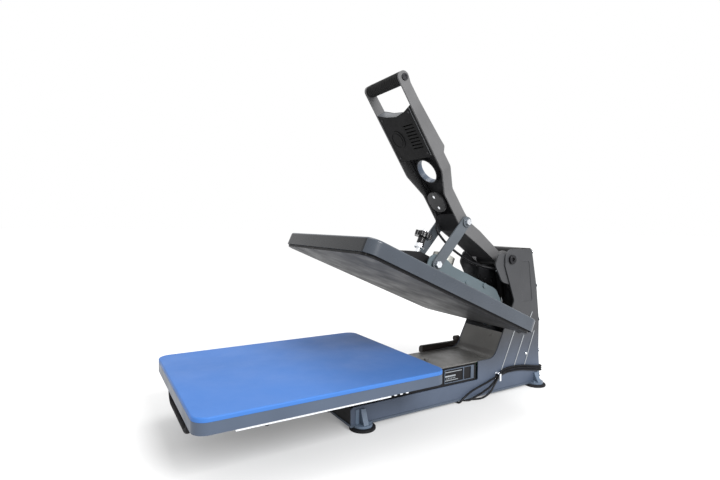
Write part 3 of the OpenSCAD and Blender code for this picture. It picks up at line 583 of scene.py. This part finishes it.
def on_rib(centre, normal):
    return abs(centre.x) > 0.0741 and centre.z > 0.05 and abs(normal.x) > 0.2


# The ribs' outer faces get the lighter coat: a painted highlight along the ribs.
for side in ("side_panel_right", "side_panel_left"):
    second_finish(made[side], "painted_highlight", on_rib)


def on_collar(centre, normal):
    p = closed_lever(centre)
    out = Vector((p.x, p.y - HOLE_Y))
    return HOLE_R - 0.5 < out.length < HOLE_R + 0.6 and 287 < p.z < 304.5


# The hole's wall gets the lighter coat: painted light where light falls on the collar.
second_finish(made["lever_web"], "painted_collar_light", on_collar)


def on_lip(centre, normal):
    p = closed_lever(centre)
    return p.y < 360 and normal.dot(unit_on_lever(-1, 0)) > 0.55


second_finish(made["control_box"], "box_lip", on_lip)


def on_groove(centre, normal):
    p = closed_lever(centre)
    return 57.2 < p.x < 59.8 and p.z < 279 and normal.dot(unit_on_lever(0, -1)) > 0.9


# The groove faces along the box's lower edge get the lighter coat: a painted highlight on the plate's edge.
second_finish(made["control_box"], "painted_highlight", on_groove)


def on_disc_screw(centre, normal):
    return closed_lever(centre).y > 560


def on_upright_face(centre, normal):
    return abs(normal.x) > 0.6 or abs(normal.y) > 0.8


def on_strip_head(centre, normal):
    return centre.y / MM + HALF_LENGTH < 360


second_finish(made["lever_screws"], "chrome", on_disc_screw)
second_finish(made["heating_plate"], "black_coat", on_upright_face)
second_finish(made["strip_screws"], "dark_bolt", on_strip_head)


def add_pad():
    """The silicone pad: a sheet with a moulded round rim whose side faces are painted a lighter blue than its
    face, a painted highlight.
    """
    form = cleaned("silicone_pad")
    low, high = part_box("silicone_pad")
    top = high.z - 0.0005
    round_edges(form, 2.6, 5, keep=lambda e: min(v.co.z for v in e.verts) > top)
    round_edges(form, 0.6, 2, keep=lambda e: max(v.co.z for v in e.verts) < low.z + 0.0005)
    # Side and rounded faces take the lighter rim silicone: a painted highlight.
    for face in form.faces:
        face.material_index = 1 if abs(face.normal.z) < 0.9 else 0
    mesh = bpy.data.meshes.new("pad_sheet")
    form.to_mesh(mesh)
    form.free()
    shade(mesh, 50)
    piece = new_piece("pad_sheet", mesh, FINISH["pad_silicone"], "drawer", "silicone_pad",
                      slot=SLOT["silicone_pad"])
    mesh.materials.append(FINISH["pad_rim_painted_light"])
    return weighted(piece)


def add_cover():
    """The pressed cover: a wide rounded shoulder round its top and fine edges elsewhere."""
    form = cleaned("heat_cover")
    across = Vector((0, math.sin(math.radians(PLATEN_OPEN)), math.cos(math.radians(PLATEN_OPEN))))
    top = max(v.co.dot(across) for v in form.verts) - 0.0004

    def shoulder(e):
        return all(v.co.dot(across) > top for v in e.verts) and max(abs(v.co.x) for v in e.verts) > 0.03

    round_edges(form, 5.0, 6, keep=shoulder)
    round_edges(form, 0.5, 2, limit=50)
    mesh = bpy.data.meshes.new("cover_shell")
    form.to_mesh(mesh)
    form.free()
    shade(mesh, 45)
    shell = new_piece("cover_shell", mesh, FINISH["cover_paint"], "upper_platen", "heat_cover",
                      slot=SLOT["heat_cover"])
    # Faces turned to the front get the darker paint: painted shade on the cover's front.
    second_finish(shell, "cover_painted_shade", lambda centre, normal: normal.y < -0.8 and abs(normal.x) < 0.3)
    return weighted(shell)


def sweep(name, points, radius, sides=14, steps=8):
    """A smooth round cable through the points, in metres."""
    last = len(points) - 1
    path = []
    for i in range(last):
        a, b, c, d = points[max(i - 1, 0)], points[i], points[i + 1], points[min(i + 2, last)]
        for k in range(steps):
            t = k / steps
            path.append(0.5 * (2 * b + (c - a) * t + (2 * a - 5 * b + 4 * c - d) * t * t
                               + (3 * b - a - 3 * c + d) * t ** 3))
    path.append(points[last])
    form = bmesh.new()
    rings = []
    side = None
    for i, p in enumerate(path):
        along = (path[min(i + 1, len(path) - 1)] - path[max(i - 1, 0)]).normalized()
        if side is None:
            side = along.orthogonal().normalized()
        side = (side - along * side.dot(along)).normalized()
        other = along.cross(side)
        rings.append([form.verts.new(p + radius * (math.cos(2 * math.pi * k / sides) * side
                                                   + math.sin(2 * math.pi * k / sides) * other))
                      for k in range(sides)])
    for a, b in zip(rings, rings[1:]):
        for k in range(sides):
            form.faces.new((a[k], a[(k + 1) % sides], b[(k + 1) % sides], b[k]))
    form.faces.new(list(reversed(rings[0])))
    form.faces.new(rings[-1])
    mesh = bpy.data.meshes.new(name)
    form.to_mesh(mesh)
    form.free()
    shade(mesh, 60)
    return mesh


def joined(name, meshes):
    form = bmesh.new()
    for mesh in meshes:
        form.from_mesh(mesh)
    whole = bpy.data.meshes.new(name)
    form.to_mesh(whole)
    form.free()
    return whole


LEAD_ROUTES = [
    [(60, 947.4, 58), (60.5, 951, 58), (68, 954.4, 58), (75.5, 952, 58), (77.5, 943, 58.5),
     (77.5, 905, 65), (77.5, 865, 71.5), (77.5, 820, 73), (77.5, 795, 67.5),
     (77.7, 778, 57), (77.5, 745, 47),
     (77.5, 716, 40), (77.5, 690, 33), (78.2, 668, 24), (78.4, 657, 17.5), (78.2, 651, 13),
     (75.8, 647.5, 10.9), (70, 646, 10.8), (60, 646, 10.8), (50, 646, 10.8)],
    [(60, 947.9, 52.5), (60.5, 951, 52.5), (68, 954.4, 52.5), (75.5, 952, 52.5), (77.5, 943, 53),
     (77.5, 905, 59.5), (77.5, 865, 66), (77.5, 820, 67.5), (79.5, 795, 62),
     (82.8, 778, 55), (84.5, 760, 38), (85.5, 748, 25),
     (84.5, 735, 16.5), (83, 720, 11.8), (80, 704, 10.9), (74, 690, 10.8), (66, 680, 10.8),
     (58, 676.5, 10.8), (50, 676, 10.8)],
    [(60, 948.5, 47), (60.5, 951, 47), (68, 954.4, 47), (75.5, 952, 47), (77.5, 943, 47.5), (77.5, 905, 54),
     (77.5, 865, 60.5), (77.5, 820, 62), (77.5, 795, 58), (77.7, 778, 51.5), (80, 752, 35),
     (80.5, 725, 25), (80, 700, 17.5), (79, 686, 13.2), (76, 679, 10.9), (70, 668, 10.8),
     (62, 662, 10.8), (56, 661, 10.8), (50, 661, 10.8)]]
LEAD_R = 2.3 * MM


def add_leads():
    meshes = [sweep(f"lead_{i}", [at(*p) for p in route], LEAD_R, 12, 4)
              for i, route in enumerate(LEAD_ROUTES)]
    whole = joined("side_lead_set", meshes)
    shade(whole, 60)
    new_piece("side_lead_set", whole, FINISH["cable"], "base", "side_leads", slot=SLOT["side_leads"])


CONTROL_ROUTE = [(-45, 473, 287), (-42, 500, 286), (-41, 530, 285), (-34.6, 565, 284), (-34.4, 600, 284),
                 (-32, 617, 281), (-26, 628, 276), (-21, 637, 269)]
HANG = [(-17, 646, 437), (-9.5, 654, 417), (1, 669, 396.5), (11.5, 693, 375), (22, 728, 353.5),
        (32, 758, 341), (40, 772, 337)]
TOWER_ROUTE = [(50, 786, 334), (53, 796, 330), (54, 815, 318), (53, 840, 285), (53, 880, 225),
               (52, 895, 160), (48, 893, 90), (42, 884, 50), (40, 880, 26)]
MAGNET_ROUTE = [(-35, 473, 289), (-37, 495, 293), (-38.5, 530, 292), (-33, 562, 292), (-27, 588, 290),
                (-20, 595, 290), (-12.3, 596, 290)]
CABLE_R = 3.2 * MM
MAGNET_LEAD_R = 2.5 * MM


def add_control_cable():
    """One cable from the control box along the lever, across the gap to the tower, and down inside it."""
    points = [on_lever(*p) for p in CONTROL_ROUTE] + [at(*p) for p in HANG + TOWER_ROUTE]
    mesh = sweep("control_cable", points, CABLE_R, 14, 8)
    piece = bpy.data.objects.new("control_cable", mesh)
    bpy.context.scene.collection.objects.link(piece)
    mesh.materials.append(FINISH["cable"])
    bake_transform(piece)
    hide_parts("lever_cables", "tower_cable")
    short = sweep("magnet_lead", [on_lever(*p) for p in MAGNET_ROUTE], MAGNET_LEAD_R, 12, 6)
    new_piece("magnet_lead", short, FINISH["cable"], "lever", slot=SLOT["lever_cables"])


def solid(form, corners, low, high, along):
    """Adds a prism: the outline's corners, in metres, moved by low and by high along a direction."""
    first = [form.verts.new(c + along * low) for c in corners]
    second = [form.verts.new(c + along * high) for c in corners]
    count = len(corners)
    for k in range(count):
        form.faces.new((first[k], first[(k + 1) % count], second[(k + 1) % count], second[k]))
    form.faces.new(list(reversed(first)))
    form.faces.new(second)


def finished(form, name, width, segments=2):
    bmesh.ops.recalc_face_normals(form, faces=form.faces)
    if width:
        round_edges(form, width, segments)
    mesh = bpy.data.meshes.new(name)
    form.to_mesh(mesh)
    form.free()
    shade(mesh)
    return mesh


def add_digits():
    """Seven-segment numbers on the display glass, for the time and the temperature."""
    shapes = {"0": "abcdef", "1": "bc", "8": "abcdefg", "3": "abgcd", "5": "afgcd"}
    tall, wide, bar_w = 9.0, 6.0, 1.3
    half = tall / 2
    segments = {"a": (0, tall - bar_w, wide, tall), "g": (0, half - bar_w / 2, wide, half + bar_w / 2),
                "d": (0, 0, wide, bar_w), "f": (0, half, bar_w, tall), "b": (wide - bar_w, half, wide, tall),
                "e": (0, 0, bar_w, half), "c": (wide - bar_w, 0, wide, half)}
    form = bmesh.new()
    up = unit_on_lever(0, 1)
    for text, left, base in (("180", -26, 389), ("035", 2, 389), ("000", -26, 373)):
        for place_no, digit in enumerate(text):
            for key in shapes[digit]:
                x0, y0, x1, y1 = segments[key]
                x0, x1 = x0 + left + place_no * 8.4, x1 + left + place_no * 8.4
                corners = [on_lever(x, base + y, 303.0) for x, y in ((x0, y0), (x1, y0), (x1, y1), (x0, y1))]
                solid(form, corners, -0.0002, 0.00025, up)
    new_piece("display_digits", finished(form, "display_digits", 0), FINISH["digit"], "lever")


def add_saddle():
    """The bright saddle that holds the cable to the tower's bracket: a round band with a folded foot."""
    form = bmesh.new()
    across = Vector((1, 0, 0))
    outer, inner = 5.6, 4.3
    angles = [math.radians(k * 15) for k in range(24)]
    points, back = [[(796 + r * math.cos(a), 330 + r * math.sin(a)) for a in angles]
                    for r in (outer, inner)]
    count = len(points)
    rows = [[form.verts.new(at(x, y, z)) for y, z in ring] for x, ring in
            ((54, points), (60, points), (60, back), (54, back))]
    for r in range(4):
        a, b = rows[r], rows[(r + 1) % 4]
        for k in range(count):
            form.faces.new((a[k], a[(k + 1) % count], b[(k + 1) % count], b[k]))
    solid(form, [at(60, 790, 326), at(60, 802, 326), at(60, 802, 334), at(60, 790, 334)], 0, 0.004, across)
    new_piece("cable_saddle", finished(form, "cable_saddle", 0.3), FINISH["chrome"], "base", slot="zinc")


def add_slide_window():
    """The rail's open side in the slot behind the drawer: a raised frame, a ball cage and bright races."""
    form = bmesh.new()
    across = Vector((1, 0, 0))
    low, high = 62, 96
    for y0, y1, z0, z1 in ((604, 700, low, low + 2), (604, 700, high - 2, high), (604, 606, low + 2, high - 2),
                           (690, 700, low + 2, high - 2), (664, 667, low + 2, high - 2)):
        solid(form, [at(69, y0, z0), at(69, y1, z0), at(69, y1, z1), at(69, y0, z1)], 0, 0.0022, across)
    new_piece("slide_frame", finished(form, "slide_frame", 0.3), FINISH["floor_blue"], "base",
              slot="black_metal")
    form = bmesh.new()
    for z0, z1, y1 in ((68, 70, 648), (88, 90, 660), (77, 81, 640)):
        solid(form, [at(69, 606, z0), at(69, y1, z0), at(69, y1, z1), at(69, 606, z1)], 0, 0.0014, across)
    for k in range(6):
        y = 612 + k * 5
        ring = [at(69, y + 1.5 * math.cos(math.radians(a)), 73.5 + 1.5 * math.sin(math.radians(a)))
                for a in range(0, 360, 30)]
        solid(form, ring, 0, 0.0016, across)
    new_piece("slide_races", finished(form, "slide_races", 0.2), FINISH["rail"], "base", slot="rail_steel")


add_pad()
add_cover()
add_digits()
add_saddle()
add_slide_window()
add_leads()
add_control_cable()


bpy.context.view_layer.update()
